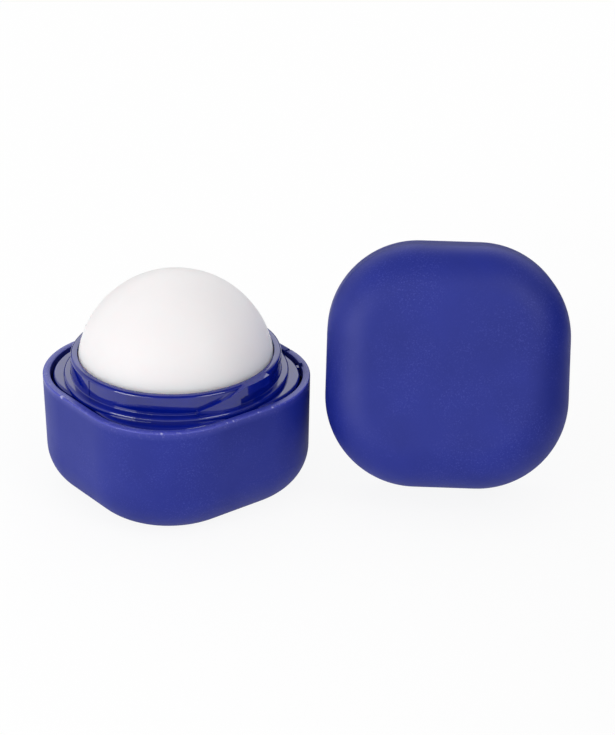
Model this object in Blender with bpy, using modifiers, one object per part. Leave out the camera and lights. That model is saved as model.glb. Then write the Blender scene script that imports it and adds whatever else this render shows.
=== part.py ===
"""Lip balm cube, opened: a rounded cube that parts at its middle into a base and a cap.

The base is a matte shell with a glossy collar snapped into it. The collar carries the neck,
its two closing lugs and the well in which the balm is cast round a perforated anchor.
The cap is a like shell with a liner: a mouth plate whose lips pass under the lugs, and a
dome that clears the balm. Here the cap is off and stands on its edge beside the base.

Metres, +Z up, origin at the middle of the base's flat underside, +X from base to cap.
"""

import math

import bmesh
import bpy
from mathutils import Matrix, Vector

# The closed cube
CUBE_SIZE = 0.038
BASE_HEIGHT = 0.0189
SEAM_GAP = 0.0003
CORNER_RADIUS = 0.0143
EDGE_RADIUS = 0.0070
RIM_ROUND = 0.00018
WALL_DRAFT = math.radians(1.2)

# Clearances
FIT_GAP = 0.0003
RIM_GAP = 0.00035
DOME_GAP = 0.00045
OVERRUN = 0.001
OVERLAP = 0.0002

# Shells
RIM_WALL = 0.00115
SIDE_WALL = 0.0021
END_WALL = 0.0011
REBATE_DEPTH = 0.0052

# Snap hooks that hold each insert in its shell
HOOK_WIDTH = 0.0036
HOOK_REACH = 0.0005
HOOK_CATCH_DEPTH = 0.0022
HOOK_HEIGHT = 0.0015
HOOK_TIP_HEIGHT = 0.0004
HOOK_ROOT = 0.0006

# Rim slit and collar key
SLIT_WIDTH = 0.0004
SLIT_DEPTH = 0.0003
SLIT_OFFSET = 0.0045
KEY_WIDTH = 0.0009
KEY_REACH = 0.0005
KEY_ROOT = 0.0010
KEY_ANGLE = math.radians(-30.5)

# Collar
PLATE_SINK = 0.0005
PLATE_THICKNESS = 0.0010
SKIRT_WALL = 0.0010
STEP_MARGIN = 0.00145
STEP_WIDTH = 0.00115
STEP_RISE = 0.00065
STEP_ROUND = 0.0002
NECK_WALL = 0.00115
NECK_RISE = 0.0038
NECK_ROUND = 0.00022
LEDGE_DEPTH = 0.0013
LEDGE_WIDTH = 0.00135
WELL_DEPTH = 0.0027
WELL_FLOOR = 0.0010

# Closing lugs, one on each of two opposite sides
LUG_REACH = 0.0007
LUG_RIDGE_HEIGHT = 0.0015
LUG_TIP_HEIGHT = 0.0008
LUG_TIP_RUN = 0.00685
LUG_RAMP_RUN = 0.0012
LUG_RIDGE_RUN = 0.00625
LUG_COUNT = 2

# Balm and its anchor
DOME_HEADROOM = 0.0028
ANCHOR_THICKNESS = 0.0010
ANCHOR_HOLE_RADIUS = 0.0026
ANCHOR_WEB = 0.0020
POST_RADIUS = 0.0018
POST_HEIGHT = 0.0070
POST_HEAD_RADIUS = 0.0032
POST_HEAD_HEIGHT = 0.0016

# Cap liner
LIP_THICKNESS = 0.00105
LIP_START = math.radians(1.0)
LIP_SWEEP = math.radians(108.0)
LUG_BORE_GAP = 0.0005
WINDOW_WIDTH = 0.0090
WINDOW_RELIEF = 0.0001
MOUTH_OPEN_SWEEP = math.radians(18.0)
DECK_GAP = 0.0004
DECK_THICKNESS = 0.0010
LINER_DOME_WALL = 0.0008

# Where the two halves stand
BASE_TURN = math.radians(37.4)
CAP_GAP = 0.002561585
CAP_BEHIND = 0.0061
CAP_TILT = math.radians(22.5)
CAP_TURN = math.radians(-2.0)
CAP_SPIN = math.radians(-1.0)

# A turn that stands an outline up: its X stays and its Y runs along Z
UPRIGHT = Matrix(((1, 0, 0, 0), (0, 0, -1, 0), (0, 1, 0, 0), (0, 0, 0, 1)))

# How finely round forms are divided
ROUND_SEGMENTS = 60
SMALL_SEGMENTS = 24
HOLE_SEGMENTS = 12
CORNER_SEGMENTS = 10
EDGE_SEGMENTS = 7
FILLET_SEGMENTS = 3
DOME_SEGMENTS = 11
SHARP_ANGLE = math.radians(32.0)
AXIS_MERGE = 0.00001
CORNERS = 4

# Sizes that follow from those above
HALF_SIZE = CUBE_SIZE / 2
CAP_HEIGHT = CUBE_SIZE - BASE_HEIGHT - SEAM_GAP
REBATE_HALF = HALF_SIZE - RIM_WALL
REBATE_CORNER = CORNER_RADIUS - RIM_WALL
INSERT_HALF = REBATE_HALF - RIM_GAP
INSERT_CORNER = REBATE_CORNER - RIM_GAP
INSERT_DEPTH = REBATE_DEPTH - FIT_GAP
INSERT_DIAGONAL = (INSERT_HALF - INSERT_CORNER) * math.sqrt(2) + INSERT_CORNER
CAVITY_HALF = HALF_SIZE - SIDE_WALL
CAVITY_CORNER = CORNER_RADIUS - SIDE_WALL
STEP_RADIUS = HALF_SIZE - STEP_MARGIN
NECK_RADIUS = STEP_RADIUS - STEP_WIDTH
BORE_RADIUS = NECK_RADIUS - NECK_WALL
LEDGE_RADIUS = BORE_RADIUS - LEDGE_WIDTH
ANCHOR_HOLE_RING = LEDGE_RADIUS - ANCHOR_WEB - ANCHOR_HOLE_RADIUS
ANCHOR_HOLES = int(math.tau * ANCHOR_HOLE_RING / (2 * ANCHOR_HOLE_RADIUS + ANCHOR_WEB))
NECK_TOP = BASE_HEIGHT + NECK_RISE
STEP_TOP = BASE_HEIGHT + STEP_RISE
PLATE_TOP = BASE_HEIGHT - PLATE_SINK
PLATE_BOTTOM = PLATE_TOP - PLATE_THICKNESS
LEDGE_TOP = BASE_HEIGHT - LEDGE_DEPTH
FLOOR_TOP = BASE_HEIGHT - WELL_DEPTH
ANCHOR_BOTTOM = LEDGE_TOP + FIT_GAP
ANCHOR_TOP = ANCHOR_BOTTOM + ANCHOR_THICKNESS
BALM_RADIUS = BORE_RADIUS - FIT_GAP
DOME_HEIGHT = CUBE_SIZE - NECK_TOP - DOME_HEADROOM
DOME_RADIUS = (BALM_RADIUS**2 + DOME_HEIGHT**2) / (2 * DOME_HEIGHT)
DOME_CENTRE = NECK_TOP + DOME_HEIGHT - DOME_RADIUS
LIP_RADIUS = NECK_RADIUS + FIT_GAP
LUG_BORE_RADIUS = NECK_RADIUS + LUG_REACH + LUG_BORE_GAP
LIP_LOW = STEP_RISE + FIT_GAP - SEAM_GAP
LIP_HIGH = LIP_LOW + LIP_THICKNESS
DECK_LOW = NECK_RISE - SEAM_GAP + DECK_GAP
DECK_HIGH = DECK_LOW + DECK_THICKNESS
LINER_DOME_CENTRE = DOME_CENTRE - BASE_HEIGHT - SEAM_GAP
LINER_DOME_RADIUS = DOME_RADIUS + DOME_GAP


def clear_scene():
    for old in list(bpy.data.objects):
        bpy.data.objects.remove(old, do_unlink=True)


def new_collection(name):
    made = bpy.data.collections.new(name)
    bpy.context.scene.collection.children.link(made)
    return made


def plastic(name, colour, roughness):
    made = bpy.data.materials.new(name)
    made.use_nodes = True
    shader = made.node_tree.nodes["Principled BSDF"]
    shader.inputs["Base Color"].default_value = (*colour, 1.0)
    shader.inputs["Roughness"].default_value = roughness
    shader.inputs["Metallic"].default_value = 0.0
    return made


def put(name, mesh, group):
    made = bpy.data.objects.new(name, mesh)
    group.objects.link(made)
    if group == helpers:
        made.hide_render = True
        made.display_type = "WIRE"
    return made


def rounded_block(name, half, corner, low, high, narrowing=0.0, low_edge=0.0, high_edge=0.0):
    """A solid rounded square from z low to z high, which loses the narrowing at its top."""
    form = bmesh.new()
    bmesh.ops.create_cube(form, size=2)
    for vertex in form.verts:
        upper = vertex.co.z > 0
        reach = half - narrowing if upper else half
        vertex.co = (vertex.co.x * reach, vertex.co.y * reach, high if upper else low)
    uprights = [e for e in form.edges if e.verts[0].co.z != e.verts[1].co.z]
    bevel(form, uprights, corner, CORNER_SEGMENTS)
    for level, radius, segments in (
        (low, low_edge, FILLET_SEGMENTS),
        (high, high_edge, EDGE_SEGMENTS),
    ):
        if radius:
            rim = [e for e in form.edges if all(abs(v.co.z - level) < AXIS_MERGE for v in e.verts)]
            bevel(form, rim, radius, segments)
    mesh = bpy.data.meshes.new(name)
    form.to_mesh(mesh)
    form.free()
    return put(name, mesh, helpers)


def bevel(form, edges, radius, segments):
    bmesh.ops.bevel(
        form,
        geom=edges,
        offset=radius,
        offset_type="OFFSET",
        segments=segments,
        profile=0.5,
        affect="EDGES",
        clamp_overlap=False,
    )


def turned(name, profile, segments=ROUND_SEGMENTS):
    """A body of revolution. Its profile runs down the outer side; off the axis it is a loop."""
    count = len(profile)
    on_axis = profile[0][0] == 0
    edges = [(k, k + 1) for k in range(count - 1)]
    if not on_axis:
        edges.append((count - 1, 0))
    mesh = bpy.data.meshes.new(name)
    mesh.from_pydata([(x, 0, z) for x, z in profile], edges, [])
    made = put(name, mesh, helpers)
    screw = made.modifiers.new("turn", "SCREW")
    screw.axis = "Z"
    screw.angle = math.tau
    screw.steps = segments
    screw.render_steps = segments
    screw.use_merge_vertices = True
    screw.merge_threshold = AXIS_MERGE
    return as_mesh(made)


def arc(centre, radius, start, end, count):
    """Points of an arc in the profile's plane, angles in degrees from +X towards +Z."""
    x, z = centre
    steps = [math.radians(start + (end - start) * k / count) for k in range(count + 1)]
    return [(x + radius * math.cos(a), z + radius * math.sin(a)) for a in steps]


def prism(name, outline, half_length, placing):
    """An outline in its own X and Y, extruded both ways along its own Z, then placed."""
    curve = bpy.data.curves.new(name, "CURVE")
    curve.dimensions = "2D"
    curve.fill_mode = "BOTH"
    curve.extrude = half_length
    spline = curve.splines.new("POLY")
    spline.points.add(len(outline) - 1)
    for point, (x, y) in zip(spline.points, outline):
        point.co = (x, y, 0, 1)
    spline.use_cyclic_u = True
    made = put(name, curve, helpers)
    made.matrix_world = placing
    return as_mesh(made)


def as_mesh(source):
    """Replaces an object by the welded mesh that it evaluates to."""
    bpy.context.view_layer.update()
    graph = bpy.context.evaluated_depsgraph_get()
    mesh = bpy.data.meshes.new_from_object(source.evaluated_get(graph))
    mesh.transform(source.matrix_world)
    form = bmesh.new()
    form.from_mesh(mesh)
    bmesh.ops.remove_doubles(form, verts=form.verts, dist=AXIS_MERGE)
    bmesh.ops.recalc_face_normals(form, faces=form.faces)
    form.to_mesh(mesh)
    form.free()
    name = source.name
    bpy.data.objects.remove(source, do_unlink=True)
    return put(name, mesh, helpers)


def combine(target, other, operation):
    step = target.modifiers.new(other.name, "BOOLEAN")
    step.operation = operation
    step.solver = "EXACT"
    step.object = other
    other.parent = target.parent


def join(target, other):
    combine(target, other, "UNION")


def cut(target, other):
    combine(target, other, "DIFFERENCE")


def finish(body, material, carrier):
    """Moves a helper into the part as one of its pieces, on its carrier."""
    helpers.objects.unlink(body)
    pieces.objects.link(body)
    body.hide_render = False
    body.display_type = "TEXTURED"
    body.data.materials.clear()
    body.data.materials.append(material)
    body.data.shade_smooth()
    body.data.set_sharp_from_angle(angle=SHARP_ANGLE)
    body.parent = carrier
    for step in body.modifiers:
        step.object.parent = carrier
    return body


def facing(angle, distance=0.0, height=0.0):
    """Outline X runs outward at this angle about Z, outline Y runs up, and its Z is tangent."""
    turn = Matrix.Rotation(angle, 4, "Z")
    return turn @ Matrix.Translation((distance, 0, height)) @ UPRIGHT


def box_outline(x_low, x_high, y_low, y_high):
    return [(x_low, y_low), (x_high, y_low), (x_high, y_high), (x_low, y_high)]


def quarter_angles(start=0.0):
    return [start + k * math.tau / CORNERS for k in range(CORNERS)]


def hook_outline(up):
    """A snap hook in its radial plane. Depth runs from the mouth; up is its sign along Z."""
    outer = INSERT_DIAGONAL + HOOK_REACH
    root = INSERT_DIAGONAL - HOOK_ROOT
    end = HOOK_CATCH_DEPTH + HOOK_HEIGHT
    corners = [
        (root, HOOK_CATCH_DEPTH),
        (outer, HOOK_CATCH_DEPTH),
        (outer, HOOK_CATCH_DEPTH + HOOK_TIP_HEIGHT),
        (INSERT_DIAGONAL - FIT_GAP, end),
        (root, end),
    ]
    return [(x, up * depth) for x, depth in corners]


def add_hooks(insert, mouth, up):
    """Four snap hooks on an insert's corners."""
    for k, angle in enumerate(quarter_angles(math.pi / CORNERS)):
        placing = facing(angle, height=mouth)
        hook = prism(f"{insert.name}_hook_{k}", hook_outline(up), HOOK_WIDTH / 2, placing)
        join(insert, hook)


def shell(name, height, mouth, up):
    """A drafted cup with soft closed edges, a rebate for its insert and pockets for the hooks.

    It is drawn mouth down with the mouth at z 0, and put at its mouth height, turned over
    when up is -1.
    """
    draft = math.tan(WALL_DRAFT)
    body = rounded_block(
        name, HALF_SIZE, CORNER_RADIUS, 0, height, draft * height, RIM_ROUND, EDGE_RADIUS
    )
    rebate = rounded_block(
        f"{name}_rebate", REBATE_HALF, REBATE_CORNER, -OVERRUN, REBATE_DEPTH
    )
    cut(body, rebate)
    inner_end = height - END_WALL
    cavity = rounded_block(
        f"{name}_cavity",
        CAVITY_HALF,
        CAVITY_CORNER,
        0,
        inner_end,
        draft * inner_end,
        0,
        EDGE_RADIUS - SIDE_WALL,
    )
    cut(body, cavity)
    pocket = box_outline(
        INSERT_DIAGONAL - HOOK_ROOT,
        INSERT_DIAGONAL + HOOK_REACH + FIT_GAP,
        HOOK_CATCH_DEPTH - FIT_GAP,
        HOOK_CATCH_DEPTH + HOOK_HEIGHT + FIT_GAP,
    )
    for k, angle in enumerate(quarter_angles(math.pi / CORNERS)):
        cutter = prism(f"{name}_pocket_{k}", pocket, HOOK_WIDTH / 2 + FIT_GAP, facing(angle))
        cut(body, cutter)
    if up < 0:
        over = Matrix.Translation((0, 0, mouth)) @ Matrix.Rotation(math.pi, 4, "X")
        body.data.transform(over)
        for step in body.modifiers:
            step.object.data.transform(over)
    return body


def base_shell():
    body = shell("base_shell", BASE_HEIGHT, BASE_HEIGHT, -1)
    slit = prism(
        "rim_slit",
        box_outline(
            REBATE_HALF - OVERRUN,
            HALF_SIZE + OVERRUN,
            BASE_HEIGHT - SLIT_DEPTH,
            BASE_HEIGHT + OVERRUN,
        ),
        SLIT_WIDTH / 2,
        Matrix.Translation((0, -SLIT_OFFSET, 0)) @ facing(0),
    )
    cut(body, slit)
    keyway = prism(
        "keyway",
        box_outline(
            key_seat() - KEY_ROOT,
            key_seat() + KEY_REACH + FIT_GAP,
            PLATE_BOTTOM - FIT_GAP,
            BASE_HEIGHT + OVERRUN,
        ),
        KEY_WIDTH / 2 + FIT_GAP,
        facing(KEY_ANGLE),
    )
    cut(body, keyway)
    return body


def key_seat():
    """How far out the collar plate's edge lies where the key stands."""
    inset = INSERT_HALF - INSERT_CORNER
    along = inset * (abs(math.cos(KEY_ANGLE)) + abs(math.sin(KEY_ANGLE)))
    return along + math.sqrt(INSERT_CORNER**2 - 2 * inset**2 + along**2)


def lug_outline():
    """The lug as its mould half sees it: a ramp that climbs to the ridge, and its stop."""
    root = STEP_TOP - OVERLAP
    ridge_low = NECK_TOP - LUG_RIDGE_HEIGHT
    return [
        (-LUG_TIP_RUN, root),
        (0, root),
        (0, ridge_low),
        (LUG_RIDGE_RUN, ridge_low),
        (LUG_RIDGE_RUN, NECK_TOP),
        (LUG_RAMP_RUN, NECK_TOP),
        (-LUG_TIP_RUN, STEP_TOP + LUG_TIP_HEIGHT),
    ]


def lug(k):
    """One lug: its outline drawn along the mould's pull, trimmed to the ring that it stands in."""
    reach = NECK_RADIUS + LUG_REACH
    pull = Matrix.Rotation(k * math.tau / LUG_COUNT, 4, "Z") @ Matrix.Translation((0, -reach, 0))
    body = prism(f"lug_{k}", lug_outline(), NECK_RADIUS / 2, pull @ UPRIGHT)
    inner = NECK_RADIUS - NECK_WALL / 2
    low = STEP_TOP - OVERRUN
    high = NECK_TOP + OVERRUN
    ring = turned(f"lug_ring_{k}", [(inner, high), (reach, high), (reach, low), (inner, low)])
    combine(body, ring, "INTERSECT")
    bpy.context.view_layer.update()
    return as_mesh(body)


def neck_profile():
    """Well floor, ledge and bore, then down the neck, the step and the well's outside."""
    outside = LEDGE_RADIUS + NECK_WALL
    points = [
        (0, FLOOR_TOP),
        (LEDGE_RADIUS, FLOOR_TOP),
        (LEDGE_RADIUS, LEDGE_TOP),
        (BORE_RADIUS, LEDGE_TOP),
    ]
    points += arc(
        (BORE_RADIUS + NECK_ROUND, NECK_TOP - NECK_ROUND), NECK_ROUND, 180, 90, FILLET_SEGMENTS
    )
    points += arc(
        (NECK_RADIUS - NECK_ROUND, NECK_TOP - NECK_ROUND), NECK_ROUND, 90, 0, FILLET_SEGMENTS
    )
    points.append((NECK_RADIUS, STEP_TOP))
    points += arc(
        (STEP_RADIUS - STEP_ROUND, STEP_TOP - STEP_ROUND), STEP_ROUND, 90, 0, FILLET_SEGMENTS
    )
    points += [
        (STEP_RADIUS, PLATE_TOP - OVERLAP),
        (outside, PLATE_TOP - OVERLAP),
        (outside, FLOOR_TOP - WELL_FLOOR),
        (0, FLOOR_TOP - WELL_FLOOR),
    ]
    return points


def collar():
    bottom = BASE_HEIGHT - INSERT_DEPTH
    body = rounded_block("collar", INSERT_HALF, INSERT_CORNER, bottom, PLATE_TOP)
    hollow = rounded_block(
        "skirt_inside",
        INSERT_HALF - SKIRT_WALL,
        INSERT_CORNER - SKIRT_WALL,
        bottom - OVERRUN,
        PLATE_BOTTOM,
    )
    cut(body, hollow)
    well = turned(
        "well_hole",
        [
            (0, PLATE_TOP + OVERRUN),
            (LEDGE_RADIUS + OVERLAP, PLATE_TOP + OVERRUN),
            (LEDGE_RADIUS + OVERLAP, PLATE_BOTTOM - OVERRUN),
            (0, PLATE_BOTTOM - OVERRUN),
        ],
    )
    cut(body, well)
    bore = turned(
        "bore_hole",
        [
            (0, PLATE_TOP + OVERRUN),
            (BORE_RADIUS + OVERLAP, PLATE_TOP + OVERRUN),
            (BORE_RADIUS + OVERLAP, LEDGE_TOP - OVERLAP),
            (0, LEDGE_TOP - OVERLAP),
        ],
    )
    cut(body, bore)
    join(body, turned("neck", neck_profile()))
    for k in range(LUG_COUNT):
        join(body, lug(k))
    key = prism(
        "key",
        box_outline(key_seat() - KEY_ROOT, key_seat() + KEY_REACH, PLATE_BOTTOM, PLATE_TOP),
        KEY_WIDTH / 2,
        facing(KEY_ANGLE),
    )
    join(body, key)
    add_hooks(body, BASE_HEIGHT, -1)
    return body


def post_profile(grown, low):
    """The anchor's post and mushroom head, larger all round by a clearance."""
    shank = POST_RADIUS + grown
    head = POST_HEAD_RADIUS + grown
    top = ANCHOR_TOP + POST_HEIGHT + grown
    neck = top - POST_HEAD_HEIGHT - 2 * grown
    return [
        (0, top),
        (shank, top),
        (head, (top + neck) / 2 + OVERLAP),
        (head, (top + neck) / 2 - OVERLAP),
        (shank, neck),
        (shank, low),
        (0, low),
    ]


def hole_places():
    """Places of the anchor's holes about its axis."""
    turns = [math.tau * k / ANCHOR_HOLES for k in range(ANCHOR_HOLES)]
    return [Vector((math.cos(a), math.sin(a), 0)) * ANCHOR_HOLE_RING for a in turns]


def rod(name, place, radius, low, high):
    """A round upright rod."""
    form = bmesh.new()
    bmesh.ops.create_cone(
        form,
        cap_ends=True,
        segments=HOLE_SEGMENTS,
        radius1=radius,
        radius2=radius,
        depth=high - low,
        matrix=Matrix.Translation(place + Vector((0, 0, (low + high) / 2))),
    )
    mesh = bpy.data.meshes.new(name)
    form.to_mesh(mesh)
    form.free()
    return put(name, mesh, helpers)


def balm_anchor():
    post = post_profile(0.0, ANCHOR_TOP)
    disc = [(BALM_RADIUS, ANCHOR_TOP), (BALM_RADIUS, ANCHOR_BOTTOM), (0, ANCHOR_BOTTOM)]
    body = turned("balm_anchor", post[:-1] + disc)
    for k, place in enumerate(hole_places()):
        low = ANCHOR_BOTTOM - OVERRUN
        high = ANCHOR_TOP + OVERRUN
        cut(body, rod(f"anchor_hole_{k}", place, ANCHOR_HOLE_RADIUS, low, high))
    return body


def balm():
    """The casting: a dome and body over the anchor, plugs through it and a layer beneath."""
    half_angle = math.degrees(math.atan2(BALM_RADIUS, DOME_RADIUS - DOME_HEIGHT))
    dome = arc((0, DOME_CENTRE), DOME_RADIUS, 90, 90 - half_angle, DOME_SEGMENTS)
    low = ANCHOR_TOP + FIT_GAP
    body = turned("balm", [(0, dome[0][1])] + dome[1:] + [(BALM_RADIUS, low), (0, low)])
    under_top = ANCHOR_BOTTOM - FIT_GAP
    under_low = FLOOR_TOP + FIT_GAP
    under_radius = LEDGE_RADIUS - FIT_GAP
    under = turned(
        "balm_under",
        [(0, under_top), (under_radius, under_top), (under_radius, under_low), (0, under_low)],
    )
    join(body, under)
    for k, place in enumerate(hole_places()):
        radius = ANCHOR_HOLE_RADIUS - FIT_GAP
        join(body, rod(f"plug_{k}", place, radius, under_top - OVERLAP, low + OVERLAP))
    cut(body, turned("post_space", post_profile(FIT_GAP, low - OVERRUN), SMALL_SEGMENTS))
    return body


def round_points(radius, start, sweep):
    """Points on a circle about Z, about as close as those of the turned forms."""
    steps = max(2, round(abs(sweep) / math.tau * ROUND_SEGMENTS))
    turns = [start + sweep * k / steps for k in range(steps + 1)]
    return [(radius * math.cos(a), radius * math.sin(a)) for a in turns]


def entry(name, end):
    """Cutter for the gap between two lips, up to the angle where the next lip starts.

    Beside that lip it runs out through the flat side, where the plate would be a sliver.
    """
    space = math.tau / LUG_COUNT - LIP_SWEEP
    radius = NECK_RADIUS + LUG_REACH + FIT_GAP
    high = LIP_HIGH + OVERLAP
    outline = [(0, 0)]
    outline += round_points(radius, end - space, space - MOUTH_OPEN_SWEEP)
    outline += round_points(CUBE_SIZE, end - MOUTH_OPEN_SWEEP, MOUTH_OPEN_SWEEP)
    placing = Matrix.Translation((0, 0, (high - OVERRUN) / 2))
    return prism(name, outline, (high + OVERRUN) / 2, placing)


def liner_dome(radius, low):
    """Half profile of a dome from its top on the axis down to a level."""
    drop = low - LINER_DOME_CENTRE
    end = math.degrees(math.asin(drop / radius))
    dome = arc((0, LINER_DOME_CENTRE), radius, 90, end, DOME_SEGMENTS)
    return [(0, dome[0][1])] + dome[1:]


def cap_liner():
    """Mouth plate with its lips, corner walls, deck and dome, in the cap's own frame."""
    body = rounded_block("cap_liner", INSERT_HALF, INSERT_CORNER, LIP_LOW, DECK_HIGH)
    outside = liner_dome(LINER_DOME_RADIUS + LINER_DOME_WALL, DECK_HIGH - OVERLAP)
    join(body, turned("liner_dome", outside + [(0, DECK_HIGH - OVERLAP)]))
    inside = liner_dome(LINER_DOME_RADIUS, DECK_LOW)
    inside += [
        (LUG_BORE_RADIUS, DECK_LOW),
        (LUG_BORE_RADIUS, LIP_HIGH),
        (LIP_RADIUS, LIP_HIGH),
        (LIP_RADIUS, -OVERRUN),
        (0, -OVERRUN),
    ]
    cut(body, turned("liner_bore", inside))
    window = box_outline(
        LIP_RADIUS + OVERLAP, HALF_SIZE, LIP_HIGH - WINDOW_RELIEF, DECK_LOW + WINDOW_RELIEF
    )
    for k, angle in enumerate(quarter_angles()):
        cut(body, prism(f"window_{k}", window, WINDOW_WIDTH / 2, facing(angle)))
    for k in range(LUG_COUNT):
        cut(body, entry(f"entry_{k}", -math.pi / 2 + LIP_START + k * math.tau / LUG_COUNT))
    add_hooks(body, 0, 1)
    return body


def base_carrier():
    carrier = bpy.data.objects.new("base_place", None)
    pieces.objects.link(carrier)
    carrier.rotation_euler = (0, 0, BASE_TURN)
    return carrier


def mouth_reach(angle):
    """How far a half's rounded mouth reaches along a straight line when it is turned."""
    inset = HALF_SIZE - CORNER_RADIUS
    return inset * (abs(math.cos(angle)) + abs(math.sin(angle))) + CORNER_RADIUS


def cap_carrier():
    """On the cap's own axis at its mouth. It stands tilted on the lower edge of its mouth."""
    along = mouth_reach(BASE_TURN) + CAP_GAP + HALF_SIZE
    lowest = mouth_reach(CAP_SPIN)
    carrier = bpy.data.objects.new("cap_axis", None)
    pieces.objects.link(carrier)
    carrier.matrix_world = (
        Matrix.Translation((along, CAP_BEHIND, lowest * math.cos(CAP_TILT)))
        @ Matrix.Rotation(CAP_TURN, 4, "Z")
        @ Matrix.Rotation(math.pi / 2 - CAP_TILT, 4, "X")
        @ Matrix.Rotation(CAP_SPIN, 4, "Z")
    )
    return carrier


clear_scene()
pieces = new_collection("lip_balm_cube")
helpers = new_collection("cutters")

shell_blue = plastic("matte_blue_plastic", (0.044, 0.050, 0.300), 0.55)
gloss_blue = plastic("gloss_blue_plastic", (0.018, 0.022, 0.235), 0.12)
liner_blue = plastic("liner_blue_plastic", (0.020, 0.025, 0.240), 0.20)
natural = plastic("natural_plastic", (0.700, 0.690, 0.660), 0.40)
balm_white = plastic("white_balm", (0.870, 0.855, 0.850), 0.38)

base_place = base_carrier()
finish(base_shell(), shell_blue, base_place)
finish(collar(), gloss_blue, base_place)
finish(balm_anchor(), natural, base_place)
finish(balm(), balm_white, base_place)

cap_axis = cap_carrier()
finish(shell("cap_shell", CAP_HEIGHT, 0, 1), shell_blue, cap_axis)
finish(cap_liner(), liner_blue, cap_axis)
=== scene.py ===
import math

import bmesh
import bpy
from mathutils import Matrix, Vector


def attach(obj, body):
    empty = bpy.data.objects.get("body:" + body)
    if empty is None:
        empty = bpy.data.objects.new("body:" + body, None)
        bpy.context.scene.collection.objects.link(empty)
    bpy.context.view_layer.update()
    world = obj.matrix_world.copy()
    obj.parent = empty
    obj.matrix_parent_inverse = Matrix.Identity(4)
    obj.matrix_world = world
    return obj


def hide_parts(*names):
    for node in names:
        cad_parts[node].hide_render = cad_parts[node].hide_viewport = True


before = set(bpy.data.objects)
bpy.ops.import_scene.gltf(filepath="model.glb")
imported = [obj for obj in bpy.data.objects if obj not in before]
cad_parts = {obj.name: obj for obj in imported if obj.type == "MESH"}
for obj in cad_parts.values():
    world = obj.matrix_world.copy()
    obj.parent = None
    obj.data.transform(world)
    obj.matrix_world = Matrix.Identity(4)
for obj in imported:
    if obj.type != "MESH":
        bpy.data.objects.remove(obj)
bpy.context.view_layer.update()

# Base shell: the matte outer cup of the lower half, an injection moulding in fine textured
# polypropylene. Its section is swept round a soft square, and it stands on a flat underside.
CUBE = 0.038
HALF = CUBE / 2
CORNER = 0.0143
SOFT_EDGE = 0.0070
BASE_TALL = 0.0189
DRAFT = math.tan(math.radians(1.2))
RIM_WALL = 0.00115
SHELL_WALL = 0.0021
END_WALL = 0.0011
REBATE = 0.0052
RIM_EDGE = 0.00020
INNER_EDGE = 0.00010
BASE_PLACE = Matrix.Rotation(math.radians(37.4), 4, "Z")
CORNER_STEPS = 31
EDGE_STEPS = 23
FINE_STEPS = 4

# How far in a section ends, as a share of the corner's radius. The flat middle is filled there.
FLAT_SHARE = 0.8

# How far down the rim's wear and painted sheen reach and fade, and how strong they are
WEAR_AND_SHEEN_DEPTH = 0.00035
WEAR_AND_SHEEN_FADE = 4 * WEAR_AND_SHEEN_DEPTH
WALL_WEAR_AND_SHEEN = 0.4
RIM_WEAR_AND_SHEEN = 0.7
INNER_WEAR_AND_SHEEN = 0.5


def combined(tree, first, second, operation="MULTIPLY"):
    """Two values or outputs put through one sum, in a form's tree or a material's."""
    made = tree.nodes.new("ShaderNodeMath")
    made.operation = operation
    for socket, value in zip(made.inputs, (first, second)):
        if isinstance(value, (int, float)):
            socket.default_value = value
        else:
            tree.links.new(value, socket)
    return made.outputs[0]


def new_tree(name, output, **inputs):
    """An empty Geometry Nodes tree; its inputs are named with _ for a space, each with its kind."""
    tree = bpy.data.node_groups.new(name, "GeometryNodeTree")
    for label, kind in inputs.items():
        tree.interface.new_socket(
            label.replace("_", " "), in_out="INPUT", socket_type="NodeSocket" + kind
        )
    tree.interface.new_socket(output, in_out="OUTPUT", socket_type="NodeSocketGeometry")
    return tree


def ended(tree, given, result):
    """Ends a tree with real geometry in the finish that it is given."""
    real = tree.nodes.new("GeometryNodeRealizeInstances")
    tree.links.new(result, real.inputs[0])
    finish = tree.nodes.new("GeometryNodeSetMaterial")
    tree.links.new(real.outputs[0], finish.inputs["Geometry"])
    tree.links.new(given["Finish"], finish.inputs["Material"])
    tree.links.new(finish.outputs[0], tree.nodes.new("NodeGroupOutput").inputs[0])
    return tree


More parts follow.
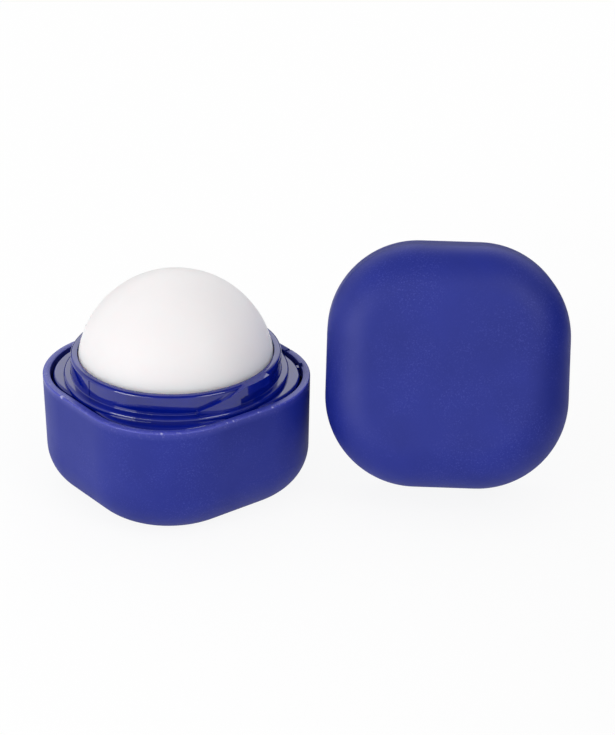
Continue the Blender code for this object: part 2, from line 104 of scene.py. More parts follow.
def swept_section():
    """A tree that rounds the corners of a section and sweeps it round a soft square or a circle."""
    tree = new_tree(
        "swept_section",
        "Solid",
        Section="Geometry",
        Half_Size="Float",
        Corner_Radius="Float",
        Corner_Steps="Int",
        Turned="Bool",
        Finish="Material",
    )
    new, link = tree.nodes.new, tree.links.new
    given = new("NodeGroupInput").outputs

    outline = new("GeometryNodeMeshToCurve")
    link(given["Section"], outline.inputs["Mesh"])
    rounded = new("GeometryNodeFilletCurve")
    rounded.mode = "POLY"
    link(outline.outputs[0], rounded.inputs["Curve"])
    for label, kind, socket in (("round", "FLOAT", "Radius"), ("steps", "INT", "Count")):
        read = new("GeometryNodeInputNamedAttribute")
        read.data_type = kind
        read.inputs["Name"].default_value = label
        link(read.outputs["Attribute"], rounded.inputs[socket])

    square = new("GeometryNodeCurvePrimitiveQuadrilateral")
    width = combined(tree, given["Half Size"], 2)
    for socket in ("Width", "Height"):
        link(width, square.inputs[socket])
    soft = new("GeometryNodeFilletCurve")
    soft.mode = "POLY"
    link(square.outputs[0], soft.inputs["Curve"])
    link(given["Corner Radius"], soft.inputs["Radius"])
    link(given["Corner Steps"], soft.inputs["Count"])

    circle = new("GeometryNodeCurvePrimitiveCircle")
    link(combined(tree, given["Corner Steps"], 4), circle.inputs["Resolution"])
    link(given["Half Size"], circle.inputs["Radius"])

    path = new("GeometryNodeSwitch")
    path.input_type = "GEOMETRY"
    link(given["Turned"], path.inputs["Switch"])
    link(soft.outputs[0], path.inputs["False"])
    link(circle.outputs[0], path.inputs["True"])
    upright = new("GeometryNodeSetCurveNormal")
    upright.mode = "Z_UP"
    link(path.outputs[0], upright.inputs["Curve"])
    sweep = new("GeometryNodeCurveToMesh")
    link(upright.outputs[0], sweep.inputs["Curve"])
    link(rounded.outputs[0], sweep.inputs["Profile Curve"])
    return ended(tree, given, sweep.outputs[0])


SWEPT = swept_section()
WELD = 0.000004


def shown(name, data):
    """An object of a mesh, a lamp or a camera, in the scene."""
    made = bpy.data.objects.new(name, data)
    bpy.context.scene.collection.objects.link(made)
    return made


def plain_mesh(thing):
    """Makes what an object evaluates to its mesh, with its modifiers gone."""
    bpy.context.view_layer.update()
    graph = bpy.context.evaluated_depsgraph_get()
    mesh = bpy.data.meshes.new_from_object(thing.evaluated_get(graph))
    thing.modifiers.clear()
    thing.data = mesh
    return thing


def closed(thing):
    """Welds an object's mesh, fills its flat ends and turns its faces outwards."""
    form = bmesh.new()
    form.from_mesh(thing.data)
    bmesh.ops.remove_doubles(form, verts=form.verts, dist=WELD)
    open_edges = [e for e in form.edges if e.is_boundary]
    if open_edges:
        bmesh.ops.holes_fill(form, edges=open_edges, sides=0)
    bmesh.ops.recalc_face_normals(form, faces=form.faces)
    form.to_mesh(thing.data)
    form.free()
    return thing


def feed(modifier, **values):
    """Sets a tree's inputs on its modifier, named with _ for a space. None leaves one empty."""
    for item in modifier.node_group.interface.items_tree:
        value = values.get(item.name.replace(" ", "_"))
        if value is not None:
            modifier[item.identifier] = value


def swept(name, section, half, corner=0.0, corner_steps=CORNER_STEPS, loop=False, finish=None):
    """A solid whose section of (out, up, round, steps, wear_and_sheen) points goes round a soft
    square.

    Without a corner radius it goes round a circle. The out of a point is measured from the path.
    A cutter has no finish.
    """
    count = len(section)
    edges = [(k, k + 1) for k in range(count - 1)]
    if loop:
        edges.append((count - 1, 0))
    mesh = bpy.data.meshes.new(name)
    mesh.from_pydata([(point[0], -point[1], 0) for point in section], edges, [])
    for label, kind, place in (("round", "FLOAT", 2), ("steps", "INT", 3), ("wear_and_sheen", "FLOAT", 4)):
        values = [point[place] if len(point) > place else 0 for point in section]
        mesh.attributes.new(label, kind, "POINT").data.foreach_set("value", values)
    made = shown(name, mesh)
    sweep = made.modifiers.new("sweep", "NODES")
    sweep.node_group = SWEPT
    feed(
        sweep,
        Half_Size=half,
        Corner_Radius=corner,
        Corner_Steps=corner_steps,
        Turned=corner == 0,
        Finish=finish,
    )
    return closed(plain_mesh(made))


def cup_section(tall):
    """Section of a cup from the middle of its end, up its drafted wall and rim, to its floor."""
    lean = DRAFT * tall
    inner_lean = DRAFT * (tall - END_WALL)
    middle = -CORNER * FLAT_SHARE
    return [
        (middle, 0, 0, 1, 0),
        (-lean, 0, SOFT_EDGE, EDGE_STEPS, 0),
        # The last number of each point pales the rim: partly worn, partly a painted sheen and
        # highlight
        (-DRAFT * WEAR_AND_SHEEN_FADE, tall - WEAR_AND_SHEEN_FADE, 0, 1, 0),
        (-DRAFT * WEAR_AND_SHEEN_DEPTH, tall - WEAR_AND_SHEEN_DEPTH, 0, 1, WALL_WEAR_AND_SHEEN),
        (0, tall, RIM_EDGE, FINE_STEPS, 1),
        (-RIM_WALL / 2, tall, 0, 1, RIM_WEAR_AND_SHEEN),
        (-RIM_WALL, tall, INNER_EDGE, FINE_STEPS, INNER_WEAR_AND_SHEEN),
        (-RIM_WALL, tall - REBATE, 0, 1, 0),
        (-SHELL_WALL, tall - REBATE, 0, 1, 0),
        (-SHELL_WALL - inner_lean, END_WALL, SOFT_EDGE - SHELL_WALL, EDGE_STEPS // 2, 0),
        (middle, END_WALL, 0, 1, 0),
    ]


def merge(body, other, operation="DIFFERENCE"):
    """Cuts, joins or intersects a body with another closed form, and drops that form."""
    step = body.modifiers.new("merge", "BOOLEAN")
    step.operation = operation
    step.solver = "EXACT"
    step.object = other
    plain_mesh(body)
    bpy.data.objects.remove(other, do_unlink=True)


def formed(name, form):
    """An object made of a finished bmesh form."""
    mesh = bpy.data.meshes.new(name)
    form.to_mesh(mesh)
    form.free()
    return shown(name, mesh)


def block(name, size, place):
    """A box with its middle at the origin of its place."""
    form = bmesh.new()
    bmesh.ops.create_cube(form, size=1, matrix=place @ Matrix.Diagonal((*size, 1)))
    return formed(name, form)


def material(name, **sockets):
    """A Principled material; values are named as the shader's sockets, with _ for a space."""
    made = bpy.data.materials.new(name)
    made.use_nodes = True
    shader = made.node_tree.nodes["Principled BSDF"]
    for label, value in sockets.items():
        shader.inputs[label.replace("_", " ")].default_value = value
    return made, made.node_tree, shader


def noise(tree, waves, detail=2.0, roughness=0.5):
    """Noise on the piece's own place in metres, so its scale is in waves per metre."""
    place = tree.nodes.new("ShaderNodeTexCoord")
    made = tree.nodes.new("ShaderNodeTexNoise")
    made.inputs["Scale"].default_value = waves
    made.inputs["Detail"].default_value = detail
    made.inputs["Roughness"].default_value = roughness
    tree.links.new(place.outputs["Object"], made.inputs["Vector"])
    return made.outputs["Fac"]


def ranged(tree, source, low, high, to_low=0, to_high=1):
    """A value moved from one range to another, held inside it."""
    made = tree.nodes.new("ShaderNodeMapRange")
    tree.links.new(source, made.inputs["Value"])
    for socket, value in zip(
        ("From Min", "From Max", "To Min", "To Max"), (low, high, to_low, to_high)
    ):
        made.inputs[socket].default_value = value
    return made.outputs["Result"]


# A Mix node's two colours and their mix, by place, as its sockets of other kinds share the names
FIRST_COLOUR = 6
SECOND_COLOUR = 7
MIXED_COLOUR = 2


def tinted(tree, share, first, second):
    """A colour between two, by a share. Each may be a colour or an output."""
    made = tree.nodes.new("ShaderNodeMix")
    made.data_type = "RGBA"
    tree.links.new(share, made.inputs["Factor"])
    for place, value in ((FIRST_COLOUR, first), (SECOND_COLOUR, second)):
        if isinstance(value, tuple):
            made.inputs[place].default_value = (*value, 1)
        else:
            tree.links.new(value, made.inputs[place])
    return made.outputs[MIXED_COLOUR]


def bumped(tree, shader, *layers):
    """Stacks (height, strength, depth) layers of bump on a shader."""
    last = None
    for height, strength, depth in layers:
        made = tree.nodes.new("ShaderNodeBump")
        made.inputs["Strength"].default_value = strength
        made.inputs["Distance"].default_value = depth
        tree.links.new(height, made.inputs["Height"])
        if last:
            tree.links.new(last, made.inputs["Normal"])
        last = made.outputs["Normal"]
    tree.links.new(last, shader.inputs["Normal"])


def attribute(tree, name):
    """A number kept on the mesh."""
    made = tree.nodes.new("ShaderNodeAttribute")
    made.attribute_name = name
    return made.outputs["Fac"]


# Chips along the rim's edge, partly painted glints: across, along, up and reach of each, in the
# base's own frame
NICKS_AND_GLINTS = (
    (-0.01372, -0.01570, 0.01884, 0.00046),
    (-0.01893, 0.00360, 0.01883, 0.00062),
    (-0.00390, -0.01885, 0.01886, 0.00038),
    (-0.00275, -0.01890, 0.01886, 0.00040),
    (0.00195, -0.01892, 0.01884, 0.00040),
    (0.00460, -0.01890, 0.01886, 0.00044),
)
NICK_AND_GLINT_WAVES = 4500
NICK_AND_GLINT_RAGGED = 0.0004
NICK_AND_GLINT_CORE_SHARE = 0.6


def nicks_and_glints(tree):
    """Ragged spots round the places of the chips and painted glints, each full at its core and gone
    at its reach.
    """
    here = tree.nodes.new("ShaderNodeTexCoord").outputs["Object"]
    ragged = combined(tree, noise(tree, NICK_AND_GLINT_WAVES), NICK_AND_GLINT_RAGGED)
    covered = 0
    for *place, reach in NICKS_AND_GLINTS:
        away = tree.nodes.new("ShaderNodeVectorMath")
        away.operation = "DISTANCE"
        tree.links.new(here, away.inputs[0])
        away.inputs[1].default_value = BASE_PLACE @ Vector(place)
        edge = combined(tree, away.outputs["Value"], ragged, "ADD")
        spot = ranged(tree, edge, reach, reach * NICK_AND_GLINT_CORE_SHARE)
        covered = combined(tree, covered, spot, "MAXIMUM")
    return covered


SHELL_BLUE = (0.0030, 0.0138, 0.248)
SHELL_DEEP = (0.0020, 0.0116, 0.220)
SHELL_PALE = (0.066, 0.076, 0.430)
SCUFF_AND_GLINT = (0.33, 0.33, 0.62)
CLOUD_WAVES = 95
PATCH_WAVES = 150
SWELL_WAVES = 420
SCUFF_WAVES = 1300
SPECK_WAVES = 4200
GRAIN_WAVES = 5200
GRAIN_DEPTH = 0.000012
SWELL_DEPTH = 0.00006
SCUFF_DEPTH = 0.00002
# How far the rim goes pale: partly worn, partly a painted sheen and highlight
WORN_AND_SHEEN_SHARE = 0.8
RUBBED_SHARE = 0.35
matte_blue, tree, shader = material("matte_blue_shell", IOR=1.50, Specular_IOR_Level=0.43)
wear_and_sheen = attribute(tree, "wear_and_sheen")
cloud = ranged(tree, noise(tree, CLOUD_WAVES, detail=3.0), 0.35, 0.65)
patches = ranged(tree, noise(tree, PATCH_WAVES, detail=3.0), 0.40, 0.60, to_low=0.15)
speck = noise(tree, SPECK_WAVES, roughness=0.7)
specked = combined(tree, ranged(tree, speck, 0.54, 0.70, to_high=0.40), patches)
scuffed = ranged(tree, noise(tree, SCUFF_WAVES, detail=4.0, roughness=0.75), 0.56, 0.68)
rubbed = combined(tree, wear_and_sheen, scuffed)
nicked_and_glinting = combined(tree, combined(tree, rubbed, RUBBED_SHARE), nicks_and_glints(tree), "MAXIMUM")
colour = tinted(tree, cloud, SHELL_DEEP, SHELL_BLUE)
colour = tinted(tree, specked, colour, SHELL_PALE)
# Paler at the rim: partly worn, partly a painted sheen on its top and a painted highlight on its
# edge
colour = tinted(tree, combined(tree, wear_and_sheen, WORN_AND_SHEEN_SHARE), colour, SHELL_PALE)
# Pale scuffs on the rim, and pale spots that are partly chips, partly painted glints
tree.links.new(tinted(tree, nicked_and_glinting, colour, SCUFF_AND_GLINT), shader.inputs["Base Color"])
texture = ranged(tree, cloud, 0, 1, to_low=0.60, to_high=0.52)
polish = ranged(tree, wear_and_sheen, 0.1, 0.7, to_high=0.30)
tree.links.new(combined(tree, texture, polish, "SUBTRACT"), shader.inputs["Roughness"])
bumped(
    tree,
    shader,
    (noise(tree, GRAIN_WAVES, detail=1.5), 0.20, GRAIN_DEPTH),
    (noise(tree, SWELL_WAVES), 0.10, SWELL_DEPTH),
    (rubbed, 0.35, SCUFF_DEPTH),
)

base_cup = swept("base_cup", cup_section(BASE_TALL), HALF, CORNER, finish=matte_blue)

# The slit across the rim and the notch for the collar's key
SLIT = (0.0030, 0.0004, 0.0006)
SLIT_PLACE = (HALF - RIM_WALL / 2, -0.0045, BASE_TALL)
merge(base_cup, block("slit", SLIT, Matrix.Translation(SLIT_PLACE)))
KEY_ANGLE = math.radians(-30.5)
KEY_OUT = 0.01892
KEY_NOTCH = (0.0017, 0.0013, 0.0036)
key_turn = Matrix.Rotation(KEY_ANGLE, 4, "Z")
notch_place = key_turn @ Matrix.Translation((KEY_OUT, 0, BASE_TALL))
merge(base_cup, block("notch", KEY_NOTCH, notch_place))
SHARP = math.radians(34.0)


def settle(thing, place, body, node):
    """Places a finished piece, shades its soft edges and hands it to the frame."""
    thing.data.transform(place)
    thing.data.shade_smooth()
    thing.data.set_sharp_from_angle(angle=SHARP)
    even = thing.modifiers.new("even_shading", "WEIGHTED_NORMAL")
    even.keep_sharp = True
    plain_mesh(thing)
    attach(thing, body)
    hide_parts(node)


settle(base_cup, BASE_PLACE, "base", "base_shell")

# Collar: the glossy insert that snaps into the base shell, moulded with side slides. Its plate
# carries a round step, the neck that the cap closes on, and one ramped lug on each of two sides.
RIM_GAP = 0.00048
INSERT = HALF - RIM_WALL - RIM_GAP
INSERT_CORNER = CORNER - RIM_WALL - RIM_GAP
INSERT_DEEP = REBATE - 0.0003
PLATE_TOP = BASE_TALL - 0.00015
PLATE_THICK = 0.0010
SKIRT = 0.0010
PLATE_EDGE = 0.00046
STEP_OUT = 0.01755
STEP_TOP = BASE_TALL + 0.00065
STEP_EDGE = 0.00044
NECK_OUT = 0.0164
NECK_BORE = 0.01525
NECK_TOP = BASE_TALL + 0.0038
NECK_EDGE = 0.00048
NECK_EDGE_STEPS = 7
BORE_EDGE = 0.00016
NECK_FOOT = 0.00016
LEDGE_IN = 0.0139
LEDGE_TOP = BASE_TALL - 0.0013
FLOOR_TOP = BASE_TALL - 0.0027
FLOOR_THICK = 0.0010
WELL_OUT = LEDGE_IN + 0.00115
ROUND_STEPS = 60

# How deep joined forms reach into each other, and how far a cutter runs past what it cuts
SINK = 0.0002
OVERRUN = 0.001

GLOSS_BLUE = (0.0006, 0.0060, 0.172)
GLOSS_PALE = (0.0012, 0.0085, 0.222)
FLOW_WAVES = 140
RIPPLE_WAVES = 260
SMEAR_WAVES = 700
DUST_WAVES = 2600
RIPPLE_DEPTH = 0.00004
DUST_DEPTH = 0.00001
gloss_blue, tree, shader = material("gloss_blue_insert", IOR=1.55, Specular_IOR_Level=0.62)
flow = ranged(tree, noise(tree, FLOW_WAVES), 0.35, 0.65)
tree.links.new(tinted(tree, flow, GLOSS_BLUE, GLOSS_PALE), shader.inputs["Base Color"])
smear = noise(tree, SMEAR_WAVES, detail=3.0)
smear = ranged(tree, smear, 0.3, 0.7, to_low=0.03, to_high=0.07)
tree.links.new(smear, shader.inputs["Roughness"])
bumped(
    tree,
    shader,
    (noise(tree, RIPPLE_WAVES, detail=1.0), 0.06, RIPPLE_DEPTH),
    (noise(tree, DUST_WAVES), 0.02, DUST_DEPTH),
)

collar = swept(
    "collar_neck",
    [
        (-INSERT_CORNER * FLAT_SHARE, PLATE_TOP, 0, 1),
        (0, PLATE_TOP, PLATE_EDGE, FINE_STEPS),
        (0, BASE_TALL - INSERT_DEEP, 0, 1),
        (-SKIRT, BASE_TALL - INSERT_DEEP, 0, 1),
        (-SKIRT, PLATE_TOP - PLATE_THICK, 0, 1),
        (-INSERT_CORNER * FLAT_SHARE, PLATE_TOP - PLATE_THICK, 0, 1),
    ],
    INSERT,
    INSERT_CORNER,
    finish=gloss_blue,
)


def turned(name, points, reach, **options):
    """A solid turned round the Z axis, whose points give their distance from that axis.

    The reach is the radius of the circle that the section goes round on.
    """
    section = [(out - reach, *rest) for out, *rest in points]
    return swept(name, section, reach, corner_steps=ROUND_STEPS, **options)


# The hole in the plate that the neck and the well stand in
HOLE_OUT = NECK_BORE + SINK
HOLE_DEEP = 0.002
hole = [
    (0, PLATE_TOP + OVERRUN, 0, 1),
    (HOLE_OUT, PLATE_TOP + OVERRUN, 0, 1),
    (HOLE_OUT, PLATE_TOP - HOLE_DEEP, 0, 1),
    (0, PLATE_TOP - HOLE_DEEP, 0, 1),
]
merge(collar, turned("well_hole", hole, HOLE_OUT))
neck = [
    (0, FLOOR_TOP, 0, 1),
    (LEDGE_IN, FLOOR_TOP, 0, 1),
    (LEDGE_IN, LEDGE_TOP, 0, 1),
    (NECK_BORE, LEDGE_TOP, 0, 1),
    (NECK_BORE, NECK_TOP, BORE_EDGE, FINE_STEPS),
    (NECK_OUT, NECK_TOP, NECK_EDGE, NECK_EDGE_STEPS),
    (NECK_OUT, STEP_TOP, NECK_FOOT, FINE_STEPS),
    (STEP_OUT, STEP_TOP, STEP_EDGE, FINE_STEPS),
    (STEP_OUT, PLATE_TOP - SINK, 0, 1),
    (WELL_OUT, PLATE_TOP - SINK, 0, 1),
    (WELL_OUT, FLOOR_TOP - FLOOR_THICK, 0, 1),
    (0, FLOOR_TOP - FLOOR_THICK, 0, 1),
]
merge(collar, turned("neck", neck, STEP_OUT, finish=gloss_blue), "UNION")


def ring_of_copies():
    """A tree that sets copies of a form round the Z axis, as a mould repeats a feature."""
    tree = new_tree(
        "ring_of_copies",
        "Ring",
        Form="Geometry",
        Copies="Int",
        First_Angle="Float",
        Finish="Material",
    )
    new, link = tree.nodes.new, tree.links.new
    given = new("NodeGroupInput").outputs
    places = new("GeometryNodePoints")
    link(given["Copies"], places.inputs["Count"])
    angle = new("ShaderNodeMath")
    angle.operation = "MULTIPLY_ADD"
    link(new("GeometryNodeInputIndex").outputs[0], angle.inputs[0])
    link(combined(tree, math.tau, given["Copies"], "DIVIDE"), angle.inputs[1])
    link(given["First Angle"], angle.inputs[2])
    about_z = new("ShaderNodeCombineXYZ")
    link(angle.outputs[0], about_z.inputs["Z"])
    copies = new("GeometryNodeInstanceOnPoints")
    link(places.outputs[0], copies.inputs["Points"])
    link(given["Form"], copies.inputs["Instance"])
    link(about_z.outputs[0], copies.inputs["Rotation"])
    return ended(tree, given, copies.outputs[0])


RING = ring_of_copies()


def ringed(thing, copies, first_angle=0.0, finish=None):
    """An object's mesh repeated round the Z axis. A cutter has no finish."""
    ring = thing.modifiers.new("ring", "NODES")
    ring.node_group = RING
    feed(ring, Copies=copies, First_Angle=first_angle, Finish=finish)
    return plain_mesh(thing)


def prism(name, outline, near, far, place=Matrix.Identity(4)):
    """An outline in X and Z drawn out along Y from near to far, then placed."""
    form = bmesh.new()
    rings = [[form.verts.new((x, y, z)) for x, z in outline] for y in (near, far)]
    form.faces.new(rings[0])
    form.faces.new(reversed(rings[1]))
    for k in range(len(outline)):
        after = (k + 1) % len(outline)
        form.faces.new((rings[0][k], rings[1][k], rings[1][after], rings[0][after]))
    bmesh.ops.recalc_face_normals(form, faces=form.faces)
    bmesh.ops.transform(form, matrix=place, verts=form.verts)
    return formed(name, form)


# One lug: a ramp that climbs to a ridge flush with the neck's top, and the stop below it
LUG_COUNT = 2
LUG_OUT = NECK_OUT + 0.0007
LUG_LOW = NECK_TOP - 0.0015
LUG_TIP = -0.00685
LUG_TIP_TOP = STEP_TOP + 0.0008
LUG_RAMP_END = 0.0012
LUG_END = 0.00625
LUG_ROOT = 0.0005
LUG_EDGE = 0.00009
lug_outline = [
    (LUG_TIP, STEP_TOP - SINK),
    (0, STEP_TOP - SINK),
    (0, LUG_LOW),
    (LUG_END, LUG_LOW),
    (LUG_END, NECK_TOP),
    (LUG_RAMP_END, NECK_TOP),
    (LUG_TIP, LUG_TIP_TOP),
]
lug = prism("lug", lug_outline, -LUG_OUT - SINK, -NECK_OUT / 2)
tube = [
    (NECK_OUT - LUG_ROOT, NECK_TOP + OVERRUN, 0, 1),
    (LUG_OUT, NECK_TOP + OVERRUN, 0, 1),
    (LUG_OUT, STEP_TOP - OVERRUN, 0, 1),
    (NECK_OUT - LUG_ROOT, STEP_TOP - OVERRUN, 0, 1),
]
merge(lug, turned("lug_tube", tube, LUG_OUT, loop=True), "INTERSECT")
soften = lug.modifiers.new("soften", "BEVEL")
soften.width = LUG_EDGE
soften.segments = 2
soften.limit_method = "ANGLE"
soften.angle_limit = math.radians(40)
closed(plain_mesh(lug))
merge(collar, ringed(lug, LUG_COUNT, finish=gloss_blue), "UNION")

# Fine raised lines where the two slides of the mould met
SEAM_COUNT = 2
SEAM_ENDS = 0.0006
SEAM_SINK = 0.00001
SEAM = (0.00020, 0.00014, NECK_TOP - STEP_TOP - SEAM_ENDS)
SEAM_ANGLE = math.radians(-179.0)
seam_place = Matrix.Translation((NECK_OUT - SEAM_SINK, 0, (NECK_TOP + STEP_TOP) / 2))
seam = block("slide_line", SEAM, seam_place)
merge(collar, ringed(seam, SEAM_COUNT, SEAM_ANGLE, gloss_blue), "UNION")

# The key that lies in the shell's notch
KEY = (0.0013, 0.0008, PLATE_THICK)
KEY_IN = 0.00035
KEY_SINK = 0.00015
key_middle = (KEY_OUT - KEY_IN, 0, PLATE_TOP - KEY_SINK - PLATE_THICK / 2)
merge(collar, block("key", KEY, key_turn @ Matrix.Translation(key_middle)), "UNION")
settle(collar, BASE_PLACE, "base", "collar")

# Balm: a white casting, poured into the well through the anchor and left as a smooth dome. It
# shrinks a little from the neck as it cools, which leaves a hairline round its foot.
BALM_FOOT = 0.01512
BALM_SIDE = 0.01495
BALM_LOW = BASE_TALL + 0.0003
DOME_TALL = 0.0125
DOME_RADIUS = (BALM_FOOT**2 + DOME_TALL**2) / (2 * DOME_TALL)
DOME_CENTRE = NECK_TOP + DOME_TALL - DOME_RADIUS
DOME_SPREAD = math.atan2(BALM_FOOT, DOME_RADIUS - DOME_TALL)
DOME_STEPS = 48
BALM_WHITE = (0.808, 0.790, 0.793)
BALM_CREAM = (0.790, 0.768, 0.772)
DRIFT_WAVES = 110
SAG_WAVES = 160
SHEEN_WAVES = 600
WAX_WAVES = 3800
SAG_DEPTH = 0.00010
WAX_DEPTH = 0.00001
white_balm, tree, shader = material(
    "white_balm",
    IOR=1.45,
    Specular_IOR_Level=0.35,
    Subsurface_Weight=1.0,
    Subsurface_Radius=(1.0, 0.85, 0.85),
    Subsurface_Scale=0.004,
)
drift = ranged(tree, noise(tree, DRIFT_WAVES, detail=3.0), 0.3, 0.7)
tree.links.new(tinted(tree, drift, BALM_CREAM, BALM_WHITE), shader.inputs["Base Color"])
sheen = noise(tree, SHEEN_WAVES, detail=3.0)
sheen = ranged(tree, sheen, 0.3, 0.7, to_low=0.44, to_high=0.56)
tree.links.new(sheen, shader.inputs["Roughness"])
bumped(
    tree,
    shader,
    (noise(tree, SAG_WAVES), 0.10, SAG_DEPTH),
    (noise(tree, WAX_WAVES), 0.08, WAX_DEPTH),
)
dome = []
for k in range(DOME_STEPS + 1):
    angle = DOME_SPREAD * k / DOME_STEPS
    dome.append((DOME_RADIUS * math.sin(angle), DOME_CENTRE + DOME_RADIUS * math.cos(angle), 0, 1))
dome += [(BALM_SIDE, BALM_LOW, 0, 1), (0, BALM_LOW, 0, 1)]
balm = turned("balm_dome", dome, BALM_FOOT, finish=white_balm)
settle(balm, BASE_PLACE, "base", "balm")

# Balm anchor: the perforated disc and post that the casting grips, in natural polypropylene. It
# is inside the balm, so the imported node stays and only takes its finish.
NATURAL_DEEP = (0.66, 0.64, 0.60)
NATURAL_PALE = (0.74, 0.73, 0.70)
MILK_WAVES = 300
SATIN_WAVES = 900
PORE_WAVES = 1500
PORE_DEPTH = 0.00002
natural, tree, shader = material(
    "natural_insert", IOR=1.49, Subsurface_Weight=0.15, Subsurface_Scale=0.0008
)
milk = noise(tree, MILK_WAVES)
tree.links.new(tinted(tree, milk, NATURAL_DEEP, NATURAL_PALE), shader.inputs["Base Color"])
satin = ranged(tree, noise(tree, SATIN_WAVES), 0.3, 0.7, to_low=0.32, to_high=0.45)
tree.links.new(satin, shader.inputs["Roughness"])
bumped(tree, shader, (noise(tree, PORE_WAVES), 0.08, PORE_DEPTH))
anchor_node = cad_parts["balm_anchor"]
anchor_node.data.materials.clear()
anchor_node.data.materials.append(natural)

# Cap shell: the upper half's matte cup, a like moulding to the base's. Taken off, it stands
# tilted on the lower edge of its mouth, with its top face to the front.
PARTING_GAP = 0.0003
CAP_TALL = CUBE - BASE_TALL - PARTING_GAP
CAP_MIDDLE = (0.04245, 0.0061, 0.017629)
CAP_TURN = math.radians(-2.0)
CAP_TILT = math.radians(67.5)
CAP_SPIN = math.radians(-1.0)
CAP_PLACE = (
    Matrix.Translation(CAP_MIDDLE)
    @ Matrix.Rotation(CAP_TURN, 4, "Z")
    @ Matrix.Rotation(CAP_TILT, 4, "X")
    @ Matrix.Rotation(CAP_SPIN, 4, "Z")
)
OVER = Matrix.Translation((0, 0, CAP_TALL)) @ Matrix.Rotation(math.pi, 4, "X")
cap_cup = swept("cap_cup", cup_section(CAP_TALL), HALF, CORNER, finish=matte_blue)
settle(cap_cup, CAP_PLACE @ OVER, "cap", "cap_shell")

# Cap liner: the glossy insert in the cap's mouth. Its plate has two lips that pass under the
# lugs, an entry beside each, windows that free the lips in the mould, and a dome over the balm.
LIP_LOW = 0.00065
LIP_HIGH = LIP_LOW + 0.00105
LIP_IN = NECK_OUT + 0.0003
LIP_BEVEL = 0.0002
MOUTH_FLARE = 0.0012
DECK_LOW = 0.0039
DECK_HIGH = DECK_LOW + 0.0010
DECK_FILLET = 0.00025
LUG_ROOM = LUG_OUT + 0.0005
LINER_DOME = 0.01596
LINER_CENTRE = 0.00055
LINER_WALL = 0.0008
LINER_STEPS = DOME_STEPS // 2
liner = swept(
    "cap_liner_moulding",
    [
        (-INSERT_CORNER * FLAT_SHARE, LIP_LOW, 0, 1),
        (0, LIP_LOW, PLATE_EDGE, FINE_STEPS),
        (0, DECK_HIGH, PLATE_EDGE, FINE_STEPS),
        (-INSERT_CORNER * FLAT_SHARE, DECK_HIGH, 0, 1),
    ],
    INSERT,
    INSERT_CORNER,
    finish=gloss_blue,
)


def dome_down_to(radius, low):
    """Section points of the liner's dome, from its top on the axis down to a level."""
    end = math.asin((low - LINER_CENTRE) / radius)
    points = []
    for k in range(LINER_STEPS + 1):
        angle = math.pi / 2 + (end - math.pi / 2) * k / LINER_STEPS
        points.append((radius * math.cos(angle), LINER_CENTRE + radius * math.sin(angle), 0, 1))
    return points


outside = dome_down_to(LINER_DOME + LINER_WALL, DECK_HIGH - SINK)
outside += [(0, DECK_HIGH - SINK, 0, 1)]
merge(liner, turned("liner_dome", outside, LUG_ROOM, finish=gloss_blue), "UNION")
inside = dome_down_to(LINER_DOME, DECK_LOW)
inside += [
    (LUG_ROOM, DECK_LOW, DECK_FILLET, FINE_STEPS),
    (LUG_ROOM, LIP_HIGH, 0, 1),
    (LIP_IN, LIP_HIGH, 0, 1),
    (LIP_IN, LIP_LOW + LIP_BEVEL, 0, 1),
    (LIP_IN + LIP_BEVEL, LIP_LOW, 0, 1),
    (LIP_IN + MOUTH_FLARE, -OVERRUN, 0, 1),
    (0, -OVERRUN, 0, 1),
]
merge(liner, turned("liner_bore", inside, LUG_ROOM))

# A window in each side wall
WINDOW_COUNT = 4
WINDOW_WIDE = 0.0090
window = block(
    "window",
    (HALF - LIP_IN, WINDOW_WIDE, DECK_LOW - LIP_HIGH + SINK),
    Matrix.Translation(((HALF + LIP_IN) / 2 + SINK, 0, (DECK_LOW + LIP_HIGH) / 2)),
)
merge(liner, ringed(window, WINDOW_COUNT))

# The entries that the lugs drop in by: each a fan up to the lip, with its end open to the side
ENTRY_OUT = LUG_OUT + 0.0003
ENTRY_END = math.radians(-89.0)
ENTRY_SWEEP = math.radians(72.0)
ENTRY_STEPS = 36
OPEN_SWEEP = math.radians(18.0)
OPEN_STEPS = 8
fan = [(0.0, 0.0)]
for reach, start, sweep, steps in (
    (ENTRY_OUT, ENTRY_END - ENTRY_SWEEP, ENTRY_SWEEP - OPEN_SWEEP, ENTRY_STEPS),
    (CUBE, ENTRY_END - OPEN_SWEEP, OPEN_SWEEP, OPEN_STEPS),
):
    for k in range(steps + 1):
        angle = start + sweep * k / steps
        fan.append((reach * math.cos(angle), reach * math.sin(angle)))
LIE_FLAT = Matrix(((1, 0, 0, 0), (0, 0, 1, 0), (0, 1, 0, 0), (0, 0, 0, 1)))
entry = prism("entry", fan, -OVERRUN, LIP_HIGH + SINK, LIE_FLAT)
merge(liner, ringed(closed(entry), LUG_COUNT))
settle(liner, CAP_PLACE, "cap", "cap_liner")

# Studio: a pale table in an even room, whose ceiling is dim for gloss alone, with soft lamps and
# the camera where the photograph's was. None of it is part of the object.
TABLE_REACH = 1.5
SHADOW_SHARE = 0.10
MIRRORED_SHARE = 0.4
table_mesh = bpy.data.meshes.new("table")
table_mesh.from_pydata(
    [(x * TABLE_REACH, y * TABLE_REACH, 0) for x, y in ((-1, -1), (1, -1), (1, 1), (-1, 1))],
    [],
    [(0, 1, 2, 3)],
)
pale, tree, shader = material(
    "pale_table", Base_Color=(0.93, 0.93, 0.93, 1), Roughness=0.8, Specular_IOR_Level=0.1
)


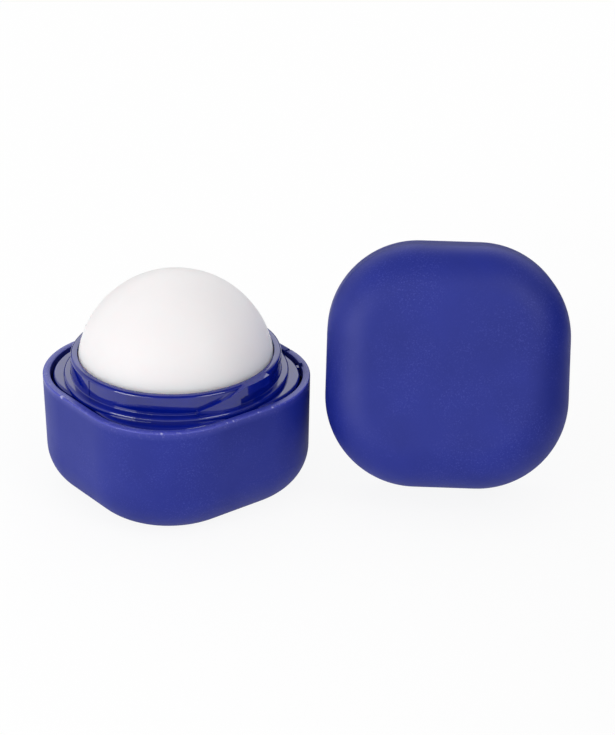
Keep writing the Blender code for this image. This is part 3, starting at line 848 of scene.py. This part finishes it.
def background_share(tree, direct, mirrored):
    """How white a ray sees the table: from the camera or through glass, or mirrored in gloss."""
    rays = tree.nodes.new("ShaderNodeLightPath").outputs
    straight = combined(tree, rays["Is Camera Ray"], rays["Is Transmission Ray"], "MAXIMUM")
    seen = combined(tree, straight, direct)
    gloss = combined(tree, rays["Is Glossy Ray"], mirrored)
    return combined(tree, seen, gloss, "MAXIMUM")


glow = tree.nodes.new("ShaderNodeEmission")
glow.inputs["Strength"].default_value = 1.0
blend = tree.nodes.new("ShaderNodeMixShader")
tree.links.new(background_share(tree, 1 - SHADOW_SHARE, MIRRORED_SHARE), blend.inputs[0])
tree.links.new(shader.outputs[0], blend.inputs[1])
tree.links.new(glow.outputs[0], blend.inputs[2])
tree.links.new(blend.outputs[0], tree.nodes["Material Output"].inputs["Surface"])
table_mesh.materials.append(pale)
table = shown("table", table_mesh)

# The room's strength, and the share of it that gloss sees above a slope
ROOM = 0.85
CEILING_SHARE = 0.15
CEILING_FROM = 0.50
CEILING_FULL = 0.72
world = bpy.data.worlds.new("studio")
bpy.context.scene.world = world
world.use_nodes = True
tree = world.node_tree
room = tree.nodes["Background"]
room.inputs["Color"].default_value = (1, 1, 1, 1)
way = tree.nodes.new("ShaderNodeTexCoord").outputs["Generated"]
apart = tree.nodes.new("ShaderNodeSeparateXYZ")
tree.links.new(way, apart.inputs[0])
ceiling = ranged(
    tree, apart.outputs["Z"], CEILING_FROM, CEILING_FULL, ROOM, ROOM * CEILING_SHARE
)
rays = tree.nodes.new("ShaderNodeLightPath").outputs
dimmed = combined(tree, rays["Is Glossy Ray"], combined(tree, ROOM, ceiling, "SUBTRACT"))
tree.links.new(combined(tree, ROOM, dimmed, "SUBTRACT"), room.inputs["Strength"])
OBJECT_MIDDLE = (0, 0, 0.015)


def lamp(name, place, width, height, power, aim=OBJECT_MIDDLE):
    """A rectangular soft lamp that points at a place."""
    light = bpy.data.lights.new(name, "AREA")
    light.shape = "RECTANGLE"
    light.size = width
    light.size_y = height
    light.energy = power
    made = shown(name, light)
    made.location = place
    made.rotation_euler = (Vector(aim) - Vector(place)).to_track_quat("-Z", "Y").to_euler()
    return made


lamp("key", (-0.700, -0.535, 0.300), width=0.4, height=0.3, power=2.4)
lamp("fill", (0.515, -0.515, 0.611), width=0.35, height=0.3, power=1.5)
# Two thin strips that only gloss sees, for the fine bright lines on the collar's edges
STRIP_TALL = 0.05
for name, place, width, power in (
    ("left_strip", (-0.62, -0.62, 0.40), 0.70, 1.2),
    ("right_strip", (0.50, -0.58, 0.46), 0.45, 0.5),
):
    lamp(name, place, width, STRIP_TALL, power).visible_diffuse = False
lamp("backdrop", (0.0, 0.90, 0.43), width=0.9, height=0.28, power=0.65, aim=(0.02, 0, 0.015))

# Low dark cards on the right and behind, out of the camera's sight, that the sides there mirror
card_paint, _, _ = material("dark_card", Base_Color=(0.01, 0.01, 0.012, 1), Roughness=0.9)
for name, size, place, shades in (
    ("right_card", (0.002, 0.21, 0.062), (0.12, -0.055, 0.041), True),
    ("rear_card", (0.30, 0.002, 0.044), (0.04, 0.13, 0.022), False),
):
    card = block(name, size, Matrix.Translation(place))
    card.data.materials.append(card_paint)
    card.visible_camera = False
    card.visible_diffuse = shades
    card.visible_shadow = shades

# The camera, fitted to the photograph's outlines: focal length and height of frame in pixels
FOCAL_PIXELS = 2861
FRAME_PIXELS = 735
SENSOR = 24
EYE_PLACE = (0.02046, -0.39947, 0.21773)
LOOK_DOWN = 0.4605
camera = bpy.data.cameras.new("camera")
camera.sensor_fit = "VERTICAL"
camera.sensor_height = SENSOR
camera.lens = FOCAL_PIXELS / FRAME_PIXELS * SENSOR
camera.clip_start = 0.01
eye = shown("camera", camera)
eye.matrix_world = Matrix.Translation(EYE_PLACE) @ Matrix.Rotation(
    math.pi / 2 - LOOK_DOWN, 4, "X"
)
bpy.context.scene.camera = eye
bpy.context.scene.view_settings.view_transform = "Standard"
